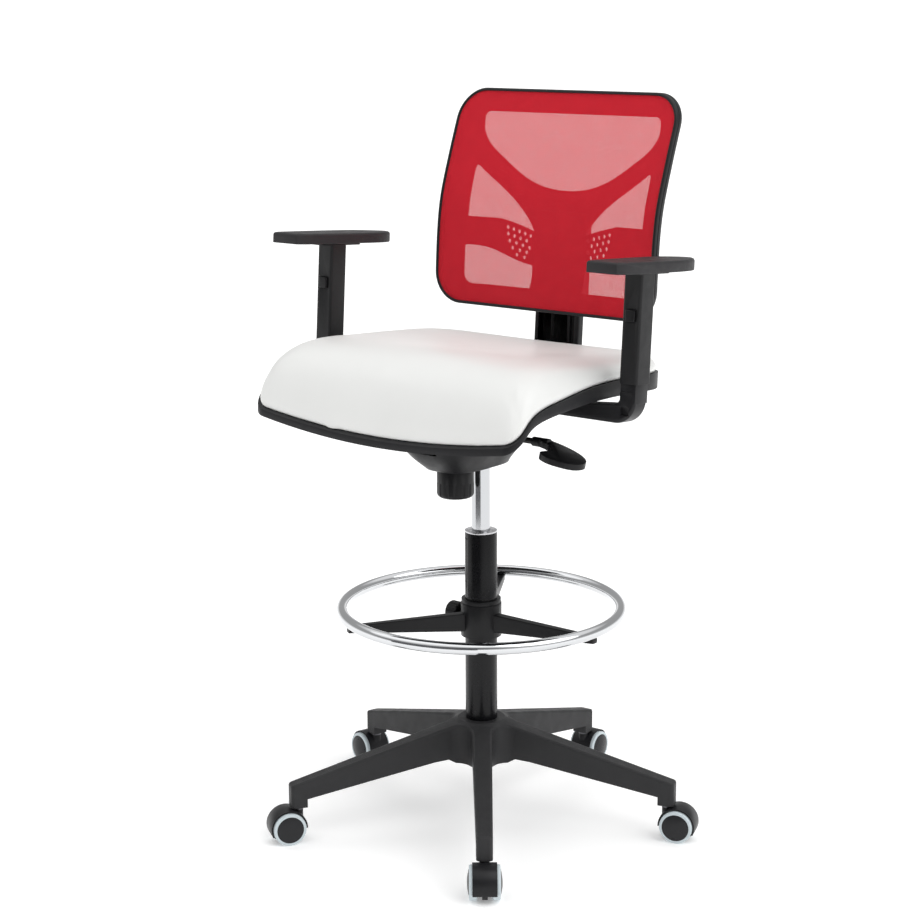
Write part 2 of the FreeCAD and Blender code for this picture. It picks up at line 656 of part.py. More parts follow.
def arm_pad():
    """Tapered pad: square front, widest at the middle, rounded rear, fuller on its inner side."""
    inner = [(-112, 31), (-70, 34), (-20, 37), (30, 38), (66, 35), (90, 22)]
    outer = [(-112, 31), (-70, 32), (-20, 33), (30, 31), (60, 25), (82, 13)]
    left = [(PAD_X - w, y, PAD_BOTTOM) for y, w in inner]
    right = [(PAD_X + w, y, PAD_BOTTOM) for y, w in outer]
    edges = [spline(right + [(PAD_X - 6, PAD_REAR, PAD_BOTTOM)] + left[::-1])]
    front = [left[0], (PAD_X - 25, PAD_FRONT, PAD_BOTTOM), (PAD_X + 25, PAD_FRONT, PAD_BOTTOM), right[0]]
    for a, b in zip(front, front[1:]):
        edges.append(Part.LineSegment(Vector(*a), Vector(*b)).toShape())
    outline = Part.Wire(Part.__sortEdges__(edges))
    pad = Part.Face(outline).extrude(Vector(0, 0, PAD_TOP - PAD_BOTTOM))
    return rounded(pad, 4.0, lambda e: e.CenterOfMass.z > PAD_TOP - 0.01)


# ---- back
def back_strip(front_gap, rear_gap, half, low, high):
    """Slab that follows the back's side curve between two offsets, across the full width."""
    heights = [z for z, _ in BACK_CURVE]
    front = spline([(-half, y + front_gap, z) for z, y in BACK_CURVE])
    rear = spline([(-half, y + rear_gap, z) for z, y in BACK_CURVE])
    ends = []
    for z, y in (BACK_CURVE[0], BACK_CURVE[-1]):
        ends.append(Part.LineSegment(Vector(-half, y + front_gap, z), Vector(-half, y + rear_gap, z)).toShape())
    face = Part.Face(Part.Wire([front, ends[1], rear, ends[0]]))
    slab = face.extrude(Vector(2 * half, 0, 0))
    return slab.common(block(-half, half, 0, 400, max(low, heights[0]), min(high, heights[-1])))


def back_outline(inset):
    """Rounded rectangle of the back in front view, pushed through in Y."""
    corner = 48.0 - inset
    x = BACK_HALF_WIDTH - inset
    low = BACK_BOTTOM + inset
    high = BACK_TOP - inset
    body = block(-x, x, 60, 320, low, high)
    return body.makeFillet(corner, [e for e in body.Edges if e.BoundBox.YLength > 200])


def opening(runs):
    """Window through the back: its outline in (x, z), as straight runs and smooth ones joined end to end."""
    edges = []
    for run in runs:
        points = [Vector(x, 60, z) for x, z in run]
        if len(run) == 2:
            edges.append(Part.LineSegment(*points).toShape())
        else:
            edges.append(spline([(x, 60, z) for x, z in run]))
    return Part.Face(Part.Wire(edges)).extrude(Vector(0, 260, 0))


def back_frame():
    """Black rim that clamps the mesh."""
    ring = back_outline(0).cut(back_outline(RIM_WIDTH))
    return ring.common(back_strip(0, RIM_DEPTH, 230, 700, 1200))


def ramp(t):
    """Smooth step from 0 to 1."""
    t = max(0.0, min(1.0, t))
    return t * t * (3 - 2 * t)


def shell_depth(x, z):
    """How far the rear shell lies behind the mesh: shallow round its edge, deep at the centre."""
    across = max(0.0, 1 - (x / 200) ** 2) ** 0.8
    up = ramp((z - BACK_BOTTOM) / 40) * ramp((BACK_TOP - z) / 70)
    return DISH_EDGE + DISH * across * up


def dished_slab(inset):
    """Rear shell before it is pierced."""
    heights = [BACK_BOTTOM - 8, BACK_BOTTOM, 798, 812, 830, 873, 913, 953, 993, 1033, 1058, 1080, 1100,
               BACK_TOP, BACK_TOP + 8]
    sections = []
    for x in (-210, -185, -150, -105, -55, 0, 55, 105, 150, 185, 210):
        front = [(x, between(z, BACK_CURVE) + shell_depth(x, z), z) for z in heights]
        rear = [(x, y + SHELL_WALL, z) for x, y, z in front]
        low = Part.LineSegment(Vector(*front[0]), Vector(*rear[0])).toShape()
        high = Part.LineSegment(Vector(*front[-1]), Vector(*rear[-1])).toShape()
        sections.append(Part.Wire([spline(front), high, spline(rear), low]))
    return Part.makeLoft(sections, True).common(back_outline(inset))


def back_pocket():
    """Outside and inside of the pocket, moulded on the rear shell, that slides on the upright."""
    side = UPRIGHT_HALF + 5
    outer = block(-side, side, UPRIGHT_FRONT - 3, UPRIGHT_FRONT + UPRIGHT_DEPTH + 4, 794, 936)
    outer = rounded(outer, 4.0, upright_edge)
    gap = 0.4
    hollow = block(-UPRIGHT_HALF - gap, UPRIGHT_HALF + gap, UPRIGHT_FRONT - gap,
                   UPRIGHT_FRONT + UPRIGHT_DEPTH + gap, 760, 930)
    return outer, hollow


BOWL = [[(-156, 1085), (156, 1085)], [(156, 1085), (164, 1082), (167, 1074)], [(167, 1074), (167, 1060)],
        [(167, 1060), (158, 1042), (126, 1015), (88, 990), (46, 973), (0, 968), (-46, 973), (-88, 990),
         (-126, 1015), (-158, 1042), (-167, 1060)],
        [(-167, 1060), (-167, 1074)], [(-167, 1074), (-164, 1082), (-156, 1085)]]
TRIANGLE = [[(167, 920), (167, 994)], [(167, 994), (165, 1000), (159, 999)],
            [(159, 999), (116, 969), (78, 940), (58, 918), (48, 902)],
            [(48, 902), (62, 907), (86, 914), (112, 920)], [(112, 920), (167, 920)]]
LOWER = [[(169, 830), (169, 875)], [(169, 875), (141, 875), (116, 870), (92, 861), (66, 853), (50, 850)],
         [(50, 850), (50, 814)], [(50, 814), (153, 815)], [(153, 815), (164, 819), (169, 830)]]


def back_shell():
    shell = dished_slab(RIM_WIDTH)
    shell = shell.cut(opening(BOWL))
    for side in (1, -1):
        for window in (TRIANGLE, LOWER):
            shell = shell.cut(opening([[(side * x, z) for x, z in run] for run in window]))
        holes = []
        for row in range(5):
            for column in range(6 - row):
                x = side * (97 - (10.4 + 0.8 * row) * column - 1.1 * row ** 2)
                z = 907 - 10.6 * row - 2.9 * column
                if abs(x) > UPRIGHT_HALF + 9:
                    holes.append(bar_y(3.2, 60, 320, x, z))
        shell = shell.cut(Part.makeCompound(holes))
    pocket, hollow = back_pocket()
    return join(shell, pocket).cut(hollow)


def back_mesh():
    """Stretched fabric: a thin skin just behind the front edge of the rim."""
    return back_strip(1.0, 2.6, 230, 700, 1200).common(back_outline(RIM_WIDTH))


def back_upright():
    """Ribbed cover that stands up behind the seat and holds the top of the steel bar."""
    stand = block(-UPRIGHT_HALF, UPRIGHT_HALF, UPRIGHT_FRONT, UPRIGHT_FRONT + UPRIGHT_DEPTH, 676, 912)
    stand = rounded(stand, 3.0, upright_edge)
    grooves = []
    for k in range(-2, 3):
        grooves.append(block(k * 15 - 4.2, k * 15 + 4.2, UPRIGHT_FRONT - 1, UPRIGHT_FRONT + 6, 690, 796))
    return stand.cut(Part.makeCompound(grooves)).cut(back_bar())


def back_bar():
    """Steel bar from the rear shaft, back under the seat and up into the upright."""
    path = [(BACK_PIVOT_Y - 12, 612), (BACK_PIVOT_Y + 16, 612), (150, 640), (180, 655), (188.5, 676), (188.5, 800),
            (183, 800), (183, 684), (173, 668), (142, 655), (BACK_PIVOT_Y + 16, 641), (BACK_PIVOT_Y - 12, 641)]
    bar = prism([(-BAR_HALF, y, z) for y, z in path], (2 * BAR_HALF, 0, 0))
    centre = leaned_inverse(BACK_PIVOT_Y, SHAFT_Z)
    return bar.cut(bar_x(SHAFT_RADIUS + RUNNING, -60, 60, centre[0], centre[1]))


# ---- everything
os.makedirs("parts", exist_ok=True)

save("five_star_base", five_star_base())
save("caster_stems", caster_stems())
hood = Part.makeCompound([caster_hood(), caster_axle()])
for number in range(LEG_COUNT):
    name = "caster_" + str(number + 1)
    save(name + "_hood", place_caster(hood, number))
    for word, side in (("left", 1), ("right", -1)):
        save(name + "_wheel_" + word, place_caster(wheel_core(side), number))
        save(name + "_tread_" + word, place_caster(wheel_tread(side), number))

save("column_tube", column_tube())
save("column_top_bush", column_top_bush())
save("gas_cylinder", gas_cylinder())
save("piston_rod", piston_rod())
save("thrust_bearing", thrust_bearing())

save("footring_hub", footring_hub())
save("footring", footring())
save("footring_bush", footring_bush())
save("footring_knob", footring_knob())

save("mechanism_housing", mechanism_housing())
save("mechanism_cover", mechanism_cover())
save("tension_knob", tension_knob())
save("tension_spring", tension_spring())
save("pivot_shafts", pivot_shafts())
save("height_lever", lever())
save("tilt_lock_lever", mirrored(lever()))

save("seat_plate", leaned(seat_plate()))
save("seat_shell", leaned(seat_shell()))
save("seat_cushion", leaned(seat_cushion()))
save("seat_screws", leaned(seat_screws()))
for word, make in (("bracket", arm_bracket), ("sleeve", arm_sleeve), ("pad", arm_pad), ("button", arm_button)):
    shape = leaned(make())
    save("arm_" + word + "_left", shape)
    save("arm_" + word + "_right", mirrored(shape))

save("back_bar", leaned(back_bar()))
save("back_upright", leaned(back_upright()))
save("back_shell", leaned(back_shell()))
save("back_frame", leaned(back_frame()))
save("back_mesh", leaned(back_mesh()))
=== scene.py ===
import json
import math

import bmesh
import bpy
from mathutils import Euler, Matrix, Vector
from mathutils.bvhtree import BVHTree


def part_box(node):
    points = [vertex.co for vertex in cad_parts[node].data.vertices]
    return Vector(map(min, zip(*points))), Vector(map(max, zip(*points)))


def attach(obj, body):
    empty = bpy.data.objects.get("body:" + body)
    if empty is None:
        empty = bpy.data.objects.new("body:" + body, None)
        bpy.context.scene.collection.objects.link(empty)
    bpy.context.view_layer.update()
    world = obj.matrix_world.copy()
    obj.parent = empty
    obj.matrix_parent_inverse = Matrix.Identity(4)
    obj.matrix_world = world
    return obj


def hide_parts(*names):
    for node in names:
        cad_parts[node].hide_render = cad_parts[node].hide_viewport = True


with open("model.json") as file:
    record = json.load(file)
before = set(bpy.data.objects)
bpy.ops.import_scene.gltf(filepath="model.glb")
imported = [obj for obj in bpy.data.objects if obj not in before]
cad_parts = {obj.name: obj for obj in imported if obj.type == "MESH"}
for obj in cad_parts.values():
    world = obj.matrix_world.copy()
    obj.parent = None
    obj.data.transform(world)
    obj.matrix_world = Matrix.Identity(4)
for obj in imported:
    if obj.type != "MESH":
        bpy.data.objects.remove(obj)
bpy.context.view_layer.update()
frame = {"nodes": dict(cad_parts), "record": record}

NODES = frame["nodes"]
MM = 0.001

PIVOT = Vector((0, 0, 0.593))
LEAN_DEGREES = -4.05
LEAN_TURN = Matrix.Rotation(math.radians(LEAN_DEGREES), 4, "X")
LEAN = Matrix.Translation(PIVOT) @ LEAN_TURN @ Matrix.Translation(-PIVOT)
LEVEL = LEAN.inverted()

CAMERA_PLACE = (1.9421, -2.4152, 1.2509)
CAMERA_AZIMUTH = 39.53
CAMERA_PITCH = 12.29
CAMERA_ROLL = -0.0059
CAMERA_LENS = 83.74
CAMERA_SENSOR = 36.0
CAMERA_REACH = 2000.0

# back: rim, mesh and knit
RIM_WIDTH = 4.6 * MM
RIM_DEPTH = 16 * MM
RIM_CORNER = 48 * MM
RIM_FORWARD = 1.0 * MM
MESH_SETBACK = 1.4 * MM
MESH_DIP = 2.0 * MM
MESH_RINGS = 46
KNIT_ACROSS = 1.30 * MM
KNIT_UP = 1.10 * MM
CURVE_INSET = 2 * MM
CURVE_STEPS = 60
LENGTH_STEPS = 40
READ_FROM_FRONT = -0.2

# cushion: plan, crown, puckers and cloth
CUSHION_PITCH = 7 * MM
CUSHION_CORNER = 21 * MM
CUSHION_REAR_CORNER = 87 * MM
CUSHION_MIDDLE_BACK = 20 * MM
CUSHION_RINGS = 34
RING_CROWDING = 1.25
CUSHION_ROLL = 26 * MM
EDGE_SHARE = 0.30
EDGE_STAND = 3 * MM
EDGE_TUCK = 0.6 * MM
# each tucked row: share of the edge's height above the shell, drop in millimetres, inset in millimetres
TUCK_ROWS = ((0.55, 0.0, 0.4), (0.0, 0.0, 1.2), (0.0, 1.2, 6.0))
UNDER_ROWS = (0.75, 0.5, 0.25)
READ_FROM_ABOVE = 1.2
READ_PULLS = (1.0, 0.995, 0.985, 0.97, 0.94)
READ_CENTRE_Y = -0.04
PUCKER_PLACE = (0.232, -0.222)
PUCKER_DEPTH = 1.6 * MM
PUCKER_REACH = 0.030
PUCKER_FOLDS = 7
CUSHION_CAP = 6 * MM
CLOTH_FRAMES = 16
CLOTH_QUALITY = 5
CLOTH_PRESSURE = 0.35
CLOTH_STIFFNESS = 40
CLOTH_BENDING = 4.0

# chrome
TUBE_AROUND = 192
TUBE_SECTION = 28
LATHE_STEPS = 96
VALVE_HIGH = 4 * MM
VALVE_RADIUS = 4.5 * MM
CYLINDER_EDGE = 1 * MM

# studio
FLOOR_RADIUS = 900.0
FLOOR_STEPS = 96
FLOOR_GLOW = 0.25
# sky: height of the direction looked in, brightness; suns: name, direction, spread in degrees, power
SKY = ((0.0, 1.0), (0.09, 1.0), (0.20, 0.42), (0.52, 0.42), (0.66, 0.95), (1.0, 1.0))
SUNS = (("key", (-0.95, -0.15, -1.1), 55, 1.0), ("fill", (0.3, 0.6, -1.3), 80, 0.5))
DARK_SIDE = (0.07, -0.998, 0.0)
DARK_LEVEL = 0.22
DARK_RANGE = (0.45, 0.95)
FLAG_SPAN = (-120, -104, -88, -71, -54)
FLAG_AWAY = 1.9
FLAG_HIGH = 1.1

# moulded pieces, and how far their hard edges are rounded, in millimetres
EASED = {"arm_sleeve_left": 1.2, "arm_sleeve_right": 1.2, "arm_pad_left": 2.5, "arm_pad_right": 2.5,
         "arm_bracket_left": 1.2, "arm_bracket_right": 1.2, "arm_button_left": 0.8, "arm_button_right": 0.8,
         "height_lever": 1.6, "tilt_lock_lever": 1.6, "tension_knob": 0.8, "mechanism_cover": 0.8,
         "footring_hub": 0.8, "footring_bush": 0.5, "footring_knob": 0.6, "back_upright": 1.0,
         "seat_shell": 1.6, "back_shell": 0.9, "column_tube": 0.4, "column_top_bush": 0.5}
HOOD_EASE = 0.8
WHEEL_EASE = 0.7
EASE_SEGMENTS = 2
EASE_ANGLE = 34

# mesh work: welding distance, and angles in degrees under which faces merge or shade as one
WELD = 0.01 * MM
FLAT_ANGLE = 0.6
EASED_SHARP = 40
LATHE_SHARP = 38
RIM_SHARP = 50


# ---- reading the frame
def level_box(node):
    """Lowest and highest corners of a CAD node in the level frame of the seat and back."""
    points = [LEVEL @ v.co for v in NODES[node].data.vertices]
    low = Vector([min(p[i] for p in points) for i in range(3)])
    high = Vector([max(p[i] for p in points) for i in range(3)])
    return low, high


def level_tree(node):
    """Ray tree of a CAD node in the level frame."""
    mesh = NODES[node].data
    points = [LEVEL @ v.co for v in mesh.vertices]
    return BVHTree.FromPolygons(points, [tuple(p.vertices) for p in mesh.polygons])


# ---- materials
def shader_of(name):
    """A new material with its node tree and its surface shader."""
    material = bpy.data.materials.new(name)
    material.use_nodes = True
    tree = material.node_tree
    return material, tree, tree.nodes["Principled BSDF"]


def noise(tree, scale, detail=3.0, stretch=None):
    """Value of a noise texture fixed to the object."""
    where = tree.nodes.new("ShaderNodeTexCoord")
    source = where.outputs["Object"]
    if stretch:
        mapping = tree.nodes.new("ShaderNodeMapping")
        mapping.inputs["Scale"].default_value = stretch
        tree.links.new(source, mapping.inputs["Vector"])
        source = mapping.outputs["Vector"]
    texture = tree.nodes.new("ShaderNodeTexNoise")
    texture.inputs["Scale"].default_value = scale
    texture.inputs["Detail"].default_value = detail
    tree.links.new(source, texture.inputs["Vector"])
    return texture.outputs["Fac"]


def ranged(tree, value, low, high, start=0.3, end=0.7):
    """A value between start and end, carried over to the range from low to high."""
    node = tree.nodes.new("ShaderNodeMapRange")
    node.inputs["From Min"].default_value = start
    node.inputs["From Max"].default_value = end
    node.inputs["To Min"].default_value = low
    node.inputs["To Max"].default_value = high
    tree.links.new(value, node.inputs["Value"])
    return node.outputs["Result"]


def blended(tree, value, first, second):
    """A colour between two, mixed by a value."""
    node = tree.nodes.new("ShaderNodeMix")
    node.data_type = "RGBA"
    node.inputs["A"].default_value = (*first, 1)
    node.inputs["B"].default_value = (*second, 1)
    tree.links.new(value, node.inputs["Factor"])
    return node.outputs["Result"]


def bumped(tree, shader, height, strength, distance):
    """Relief of a height over a surface."""
    node = tree.nodes.new("ShaderNodeBump")
    node.inputs["Strength"].default_value = strength
    node.inputs["Distance"].default_value = distance
    tree.links.new(height, node.inputs["Height"])
    tree.links.new(node.outputs["Normal"], shader.inputs["Normal"])


def finish(name, colour, rough, metal=0.0, mottle=0.15, patch=18.0, grain=900.0, relief=0.15,
           depth=0.0003, stretch=None, **sockets):
    """A surface whose colour and roughness drift in patches, with a fine grain in relief."""
    material, tree, shader = shader_of(name)
    patches = noise(tree, patch)
    light = tuple(min(1.0, c * (1 + mottle)) for c in colour)
    dark = tuple(c * (1 - mottle) for c in colour)
    tree.links.new(blended(tree, patches, dark, light), shader.inputs["Base Color"])
    smudges = noise(tree, patch * 3.1, 5.0, stretch)
    tree.links.new(ranged(tree, smudges, rough * 0.86, rough * 1.16), shader.inputs["Roughness"])
    bumped(tree, shader, noise(tree, grain, 2.0, stretch), relief, depth)
    shader.inputs["Metallic"].default_value = metal
    shader.inputs["Specular IOR Level"].default_value = 0.5 if metal else 0.25
    for socket, value in sockets.items():
        shader.inputs[socket.replace("_", " ")].default_value = value
    return material


def vinyl():
    """White upholstery vinyl: soft sheen, faint pebble grain and very slight shading in its colour."""
    material, tree, shader = shader_of("white_vinyl")
    tone = noise(tree, 9.0, 4.0)
    white = blended(tree, tone, (0.80, 0.805, 0.79), (0.85, 0.855, 0.84))
    tree.links.new(white, shader.inputs["Base Color"])
    tree.links.new(ranged(tree, noise(tree, 30.0, 4.0), 0.36, 0.46), shader.inputs["Roughness"])
    where = tree.nodes.new("ShaderNodeTexCoord")
    pebbles = tree.nodes.new("ShaderNodeTexVoronoi")
    pebbles.feature = "DISTANCE_TO_EDGE"
    pebbles.inputs["Scale"].default_value = 700.0
    tree.links.new(where.outputs["Object"], pebbles.inputs["Vector"])
    bumped(tree, shader, pebbles.outputs["Distance"], 0.12, 0.0004)
    shader.inputs["Coat Weight"].default_value = 0.12
    shader.inputs["Coat Roughness"].default_value = 0.3
    return material


def waves(tree, coordinate, pitch):
    """Absolute sine of a coordinate, one lobe to each pitch."""
    multiply = tree.nodes.new("ShaderNodeMath")
    multiply.operation = "MULTIPLY"
    multiply.inputs[1].default_value = math.pi / pitch
    tree.links.new(coordinate, multiply.inputs[0])
    sine = tree.nodes.new("ShaderNodeMath")
    sine.operation = "SINE"
    tree.links.new(multiply.outputs[0], sine.inputs[0])
    size = tree.nodes.new("ShaderNodeMath")
    size.operation = "ABSOLUTE"
    tree.links.new(sine.outputs[0], size.inputs[0])
    return size.outputs[0]


def knit():
    """Red knitted mesh: open eyes between its wales and courses, so that what is behind shows through."""
    material, tree, shader = shader_of("red_mesh")
    where = tree.nodes.new("ShaderNodeTexCoord")
    split = tree.nodes.new("ShaderNodeSeparateXYZ")
    tree.links.new(where.outputs["Object"], split.inputs[0])
    across = waves(tree, split.outputs["X"], KNIT_ACROSS)
    up = waves(tree, split.outputs["Z"], KNIT_UP)
    eye = tree.nodes.new("ShaderNodeMath")
    eye.operation = "MULTIPLY"
    tree.links.new(across, eye.inputs[0])
    tree.links.new(up, eye.inputs[1])
    tree.links.new(ranged(tree, eye.outputs[0], 1.0, 0.0, 0.70, 0.80), shader.inputs["Alpha"])
    tone = noise(tree, 60.0, 4.0)
    red = blended(tree, tone, (0.66, 0.018, 0.034), (0.78, 0.024, 0.042))
    tree.links.new(red, shader.inputs["Base Color"])
    tree.links.new(ranged(tree, noise(tree, 400.0), 0.55, 0.75), shader.inputs["Roughness"])
    bumped(tree, shader, eye.outputs[0], 0.5, 0.0006)
    shader.inputs["Specular IOR Level"].default_value = 0.1
    return material


def make_materials():
    """Every material by the name of its slot."""
    black = (0.006, 0.006, 0.0070)
    return {
        "base_nylon": finish("base_nylon", (0.029, 0.029, 0.0305), 0.50, grain=1300.0, relief=0.55,
                             depth=0.0005),
        "dark_steel": finish("dark_steel", (0.12, 0.12, 0.13), 0.38, 0.9, grain=500.0, stretch=(1, 1, 9)),
        "black_steel": finish("black_steel", (0.004, 0.004, 0.005), 0.26, grain=420.0, relief=0.12),
        "bright_steel": finish("bright_steel", (0.62, 0.62, 0.64), 0.26, 1.0, 0.06, grain=600.0,
                               stretch=(1, 1, 12)),
        "caster_plastic": finish("caster_plastic", (0.011, 0.011, 0.0125), 0.36, grain=1000.0, relief=0.22),
        "wheel_plastic": finish("wheel_plastic", (0.018, 0.018, 0.020), 0.30, grain=1100.0, relief=0.15),
        "tread_grey": finish("tread_grey", (0.60, 0.67, 0.70), 0.52, 0.0, 0.05, grain=800.0, relief=0.2),
        "gas_chrome": finish("gas_chrome", (0.56, 0.57, 0.585), 0.09, 1.0, 0.03, grain=90.0, relief=0.02),
        "ring_chrome": finish("ring_chrome", (0.68, 0.69, 0.705), 0.07, 1.0, 0.03, grain=90.0, relief=0.02),
        "cover_plastic": finish("cover_plastic", black, 0.38, grain=1100.0, relief=0.3),
        "knob_plastic": finish("knob_plastic", black, 0.42, grain=1100.0, relief=0.3),
        "lever_plastic": finish("lever_plastic", (0.009, 0.009, 0.010), 0.36, grain=1100.0, relief=0.25),
        "shell_plastic": finish("shell_plastic", (0.012, 0.012, 0.0135), 0.44, grain=1200.0, relief=0.4),
        "white_vinyl": vinyl(),
        "arm_steel": finish("arm_steel", (0.012, 0.012, 0.0135), 0.36, grain=420.0, relief=0.15),
        "arm_plastic": finish("arm_plastic", (0.011, 0.011, 0.0120), 0.44, grain=1200.0, relief=0.4),
        "pad_plastic": finish("pad_plastic", (0.026, 0.025, 0.027), 0.52, grain=1000.0, relief=0.6,
                              depth=0.0005),
        "button_plastic": finish("button_plastic", (0.009, 0.009, 0.010), 0.32, grain=1100.0),
        "upright_plastic": finish("upright_plastic", (0.010, 0.010, 0.0115), 0.38, grain=1200.0,
                                  relief=0.3),
        "back_red": finish("back_red", (0.34, 0.008, 0.018), 0.5, grain=1000.0, relief=0.2),
        "rim_plastic": finish("rim_plastic", (0.013, 0.013, 0.0145), 0.40, grain=1200.0, relief=0.35),
        "red_mesh": knit(),
        "hub_plastic": finish("hub_plastic", black, 0.36, grain=900.0, relief=0.2),
        "bush_plastic": finish("bush_plastic", black, 0.40, grain=900.0, relief=0.2),
    }


def slot_of(node):
    """Material slot of a CAD node in the record."""
    for part in frame["record"]["subparts"]:
        if part["node"] == node:
            return part["material_slot"]


def body_of(node):
    """Body that a CAD node belongs to in the record."""
    for body, members in frame["record"]["behaviour"]["bodies"].items():
        if node in members:
            return body


# ---- mesh helpers
def new_object(name, points, faces, smooth=True):
    """A new mesh object with its faces turned outwards."""
    mesh = bpy.data.meshes.new(name)
    mesh.from_pydata([tuple(p) for p in points], [], faces)
    mesh.validate()
    piece = bpy.data.objects.new(name, mesh)
    bpy.context.scene.collection.objects.link(piece)
    work = bmesh.new()
    work.from_mesh(mesh)
    bmesh.ops.recalc_face_normals(work, faces=work.faces)
    work.to_mesh(mesh)
    work.free()
    for face in mesh.polygons:
        face.use_smooth = smooth
    return piece


def apply_modifiers(piece):
    """Puts the modified mesh in place of the piece's own mesh."""
    graph = bpy.context.evaluated_depsgraph_get()
    graph.update()
    mesh = bpy.data.meshes.new_from_object(piece.evaluated_get(graph))
    old = piece.data
    piece.modifiers.clear()
    piece.data = mesh
    bpy.data.meshes.remove(old)


def dress(piece, node, leaned=False):
    """Stands for a CAD node: same body, same slot, its material, and the lean where it was built level."""
    if leaned:
        piece.data.transform(LEAN)
    slot = slot_of(node)
    piece.data.materials.clear()
    piece.data.materials.append(MATERIALS[slot])
    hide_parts(node)
    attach(piece, body_of(node))


def copy_of(node, name):
    """A welded copy of a CAD node's mesh, with its flat faces merged."""
    piece = bpy.data.objects.new(name, NODES[node].data.copy())
    bpy.context.scene.collection.objects.link(piece)
    work = bmesh.new()
    work.from_mesh(piece.data)
    bmesh.ops.remove_doubles(work, verts=work.verts, dist=WELD)
    bmesh.ops.dissolve_limit(work, angle_limit=math.radians(FLAT_ANGLE), verts=work.verts, edges=work.edges)
    work.to_mesh(piece.data)
    work.free()
    if piece.data.has_custom_normals:
        piece.data.normals_split_custom_set([(0, 0, 0)] * len(piece.data.loops))
    return piece


def eased(node, width):
    """The CAD node with its hard edges rounded by the width."""
    piece = copy_of(node, node + "_eased")
    bevel = piece.modifiers.new("ease", "BEVEL")
    bevel.width = width
    bevel.segments = EASE_SEGMENTS
    bevel.limit_method = "ANGLE"
    bevel.angle_limit = math.radians(EASE_ANGLE)
    bevel.use_clamp_overlap = True
    bevel.miter_outer = "MITER_ARC"
    apply_modifiers(piece)
    piece.data.shade_smooth()
    piece.data.set_sharp_from_angle(angle=math.radians(EASED_SHARP))
    dress(piece, node)


def lathe(name, profile):
    """Closed solid turned about the column axis, from (radius, height) pairs whose end radii are 0."""
    steps = LATHE_STEPS
    points, rings = [], []
    for radius, height in profile:
        if radius == 0:
            rings.append([len(points)])
            points.append(Vector((0, 0, height)))
            continue
        rings.append(list(range(len(points), len(points) + steps)))
        for k in range(steps):
            angle = 2 * math.pi * k / steps
            points.append(Vector((radius * math.cos(angle), radius * math.sin(angle), height)))
    faces = []
    for low, high in zip(rings, rings[1:]):
        for k in range(steps):
            n = (k + 1) % steps
            if len(low) == 1:
                faces.append((low[0], high[k], high[n]))
            elif len(high) == 1:
                faces.append((low[k], low[n], high[0]))
            else:
                faces.append((low[k], low[n], high[n], high[k]))
    piece = new_object(name, points, faces)
    piece.data.set_sharp_from_angle(angle=math.radians(LATHE_SHARP))
    return piece


def ring_of_sections(name, sections):
    """Closed tube through a loop of closed sections with equal point counts."""
    count = len(sections[0])
    points = [p for section in sections for p in section]
    faces = []
    for i in range(len(sections)):
        j = (i + 1) % len(sections)
        for k in range(count):
            n = (k + 1) % count
            faces.append((i * count + k, i * count + n, j * count + n, j * count + k))
    return new_object(name, points, faces)


def round_faces(count, rings):
    """Faces of a disc of rings of points round a first point at its centre."""
    faces = [(0, 1 + k, 1 + (k + 1) % count) for k in range(count)]
    for r in range(rings - 1):
        a, b = 1 + r * count, 1 + (r + 1) * count
        faces += [(a + k, b + k, b + (k + 1) % count, a + (k + 1) % count) for k in range(count)]
    return faces


def rounded_loop(half, low, high, corner, per_corner=14, per_side=18):
    """Points and outward normals round a rounded rectangle in (x, z)."""
    loop = []
    centres = [(half - corner, high - corner, 0), (-half + corner, high - corner, 90),
               (-half + corner, low + corner, 180), (half - corner, low + corner, 270)]
    for i, (cx, cz, start) in enumerate(centres):
        for k in range(per_corner + 1):
            angle = math.radians(start + 90 * k / per_corner)
            normal = (math.cos(angle), math.sin(angle))
            loop.append(((cx + corner * normal[0], cz + corner * normal[1]), normal))
        nx, nz, _ = centres[(i + 1) % 4]
        angle = math.radians(start + 90)
        normal = (math.cos(angle), math.sin(angle))
        begin = (cx + corner * normal[0], cz + corner * normal[1])
        end = (nx + corner * normal[0], nz + corner * normal[1])
        for k in range(1, per_side):
            t = k / per_side
            loop.append(((begin[0] + (end[0] - begin[0]) * t, begin[1] + (end[1] - begin[1]) * t), normal))
    return loop


# ---- back
def back_front(tree, x, z):
    """Front of the mesh plane at a place on the back, in the level frame."""
    hit = tree.ray_cast(Vector((x, READ_FROM_FRONT, z)), Vector((0, 1, 0)))[0]
    return hit.y if hit else None


def side_curve(tree, low, high):
    """The back's side curve as a function of height, carried straight on past the mesh."""
    steps = CURVE_STEPS
    heights = [low + (high - low) * k / steps for k in range(steps + 1)]
    depths = [back_front(tree, 0, z) for z in heights]

    def depth(z):
        t = (z - low) / (high - low) * steps
        k = max(0, min(steps - 1, int(t)))
        return depths[k] + (depths[k + 1] - depths[k]) * (t - k)
    return depth


def make_rim(depth):
    """Moulded rim: rounded front lip, a parting groove along its side, and a flat rear edge."""
    low, high = level_box("back_frame")
    inner, rear = -RIM_WIDTH / MM, RIM_DEPTH / MM
    profile = [(inner, 1.2), (inner + 0.9, 0.2), (-1.6, 0), (-0.5, 0.5), (0, 1.6), (0, 6.4), (-1.0, 7.0),
               (-1.0, 8.0), (0, 8.6), (0, rear - 2), (-0.5, rear - 0.6), (-1.6, rear), (inner, rear)]
    sections = []
    for (x, z), (nx, nz) in rounded_loop(high.x, low.z, high.z, RIM_CORNER):
        section = []
        for out, back in profile:
            px, pz = x + nx * out * MM, z + nz * out * MM
            section.append(Vector((px, depth(pz) - RIM_FORWARD + back * MM, pz)))
        sections.append(section)
    piece = ring_of_sections("back_rim", sections)
    piece.data.set_sharp_from_angle(angle=math.radians(RIM_SHARP))
    dress(piece, "back_frame", leaned=True)


